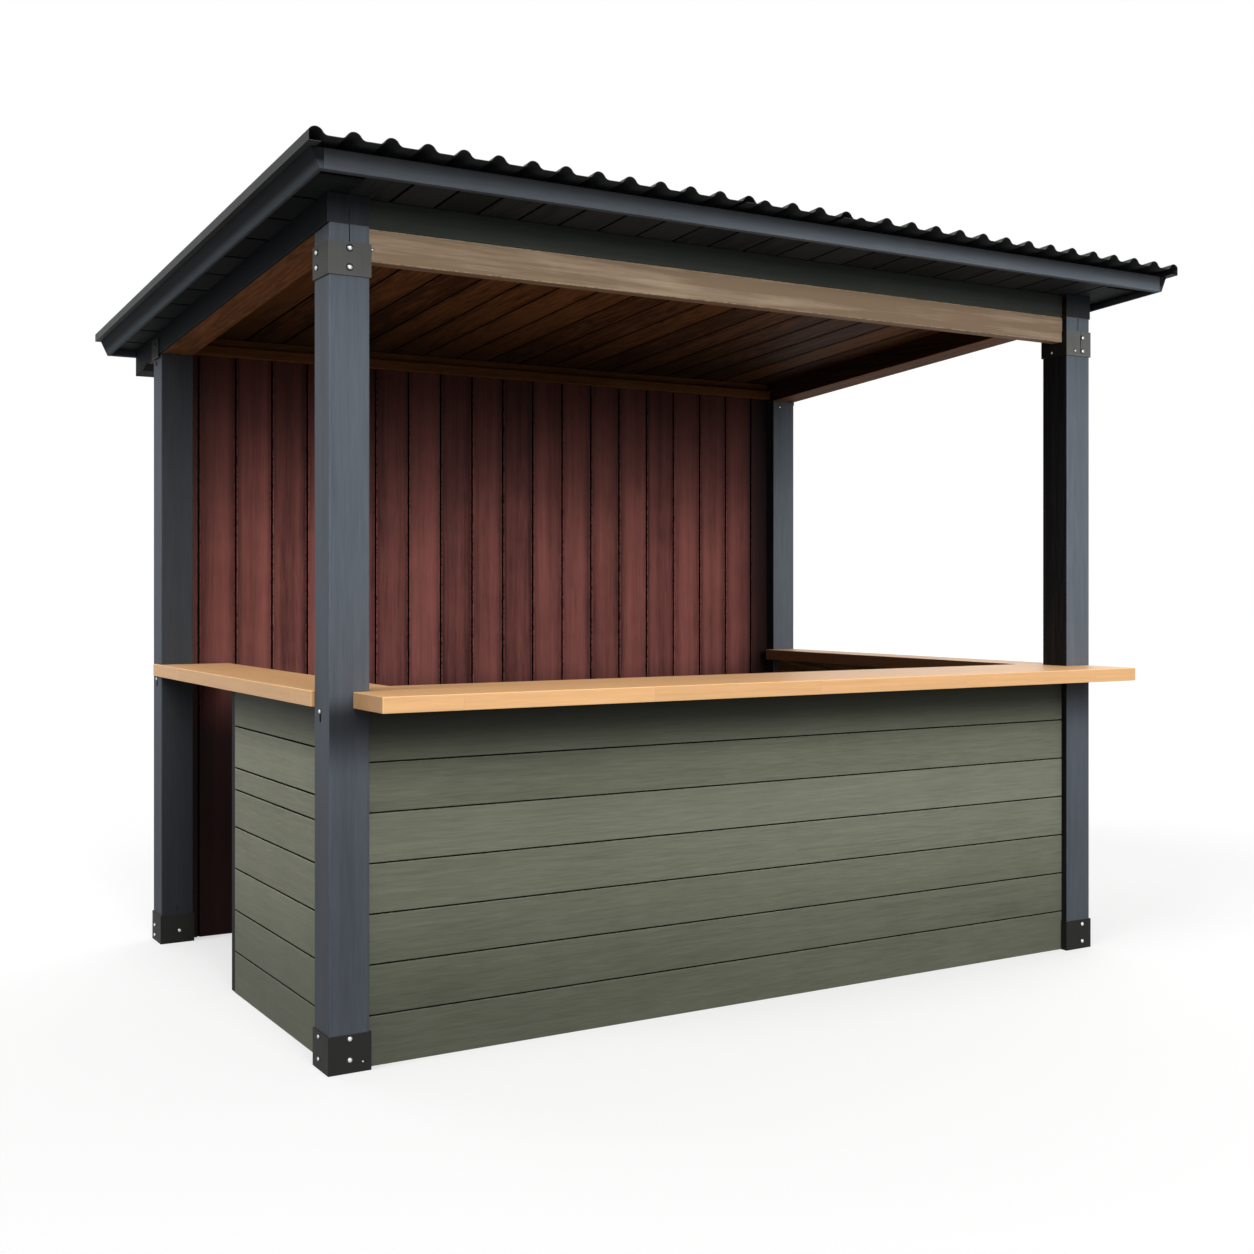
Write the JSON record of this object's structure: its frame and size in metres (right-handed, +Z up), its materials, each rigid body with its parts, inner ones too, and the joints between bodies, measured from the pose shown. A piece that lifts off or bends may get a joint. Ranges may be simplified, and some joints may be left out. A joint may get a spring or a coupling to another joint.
{
  "type": "garden bar",
  "caption": "Open timber garden bar with a lean-to roof of corrugated sheets, boarded panels under wooden counters on three sides, a boarded back wall and a way in at the left.",
  "frame": {"origin": "on the ground under the middle of the roof", "axes": "+X to the right along the front, +Y from the front to the back, +Z up"},
  "size_m": [3.312, 2.538, 2.5438],
  "materials": {
    "blue_grey_timber": "opaque stain, matte, with the grain showing",
    "foot_steel": "black powder coat, satin",
    "head_steel": "dark grey coat, matte",
    "roof_sheet": "black coated steel, matte",
    "green_boards": "sage green stain, matte",
    "counter_wood": "clear oiled softwood, satin",
    "red_boards": "dark red stain, matte",
    "brown_timber": "brown stain, matte",
    "dark_soffit": "dark grey stain, matte",
    "natural_beam": "weathered bare timber, matte",
    "frame_timber": "brown stain, matte"
  },
  "bodies": {
    "root": {"post_front_left": "blue_grey_timber", "post_front_right": "blue_grey_timber", "post_back_left": "blue_grey_timber", "post_back_right": "blue_grey_timber", "side_plate_left": "blue_grey_timber", "side_plate_right": "blue_grey_timber", "fascia_front": "blue_grey_timber", "fascia_back": "blue_grey_timber", "fascia_left": "blue_grey_timber", "fascia_right": "blue_grey_timber", "left_end_stud": "blue_grey_timber", "foot_bracket_front_left": "foot_steel", "foot_bracket_front_right": "foot_steel", "foot_bracket_back_left": "foot_steel", "foot_bracket_back_right": "foot_steel", "head_bracket_front_left": "head_steel", "head_bracket_front_right": "head_steel", "head_bracket_back_left": "head_steel", "head_bracket_back_right": "head_steel", "roof_sheet_left": "roof_sheet", "roof_sheet_middle": "roof_sheet", "roof_sheet_right": "roof_sheet", "front_panel": "green_boards", "left_panel": "green_boards", "right_panel": "green_boards", "counter_front": "counter_wood", "counter_left": "counter_wood", "counter_right": "counter_wood", "back_wall": "red_boards", "ceiling": "brown_timber", "back_rail": "brown_timber", "rear_plate": "brown_timber", "soffit_front": "dark_soffit", "soffit_back": "dark_soffit", "soffit_left": "dark_soffit", "soffit_right": "dark_soffit", "front_plate": "dark_soffit", "front_beam": "natural_beam", "top_rails": "frame_timber", "bottom_rails": "frame_timber", "panel_studs": "frame_timber", "wall_rails": "frame_timber", "batten_front": "frame_timber", "batten_middle": "frame_timber", "batten_back": "frame_timber"}
  },
  "joints": []
}
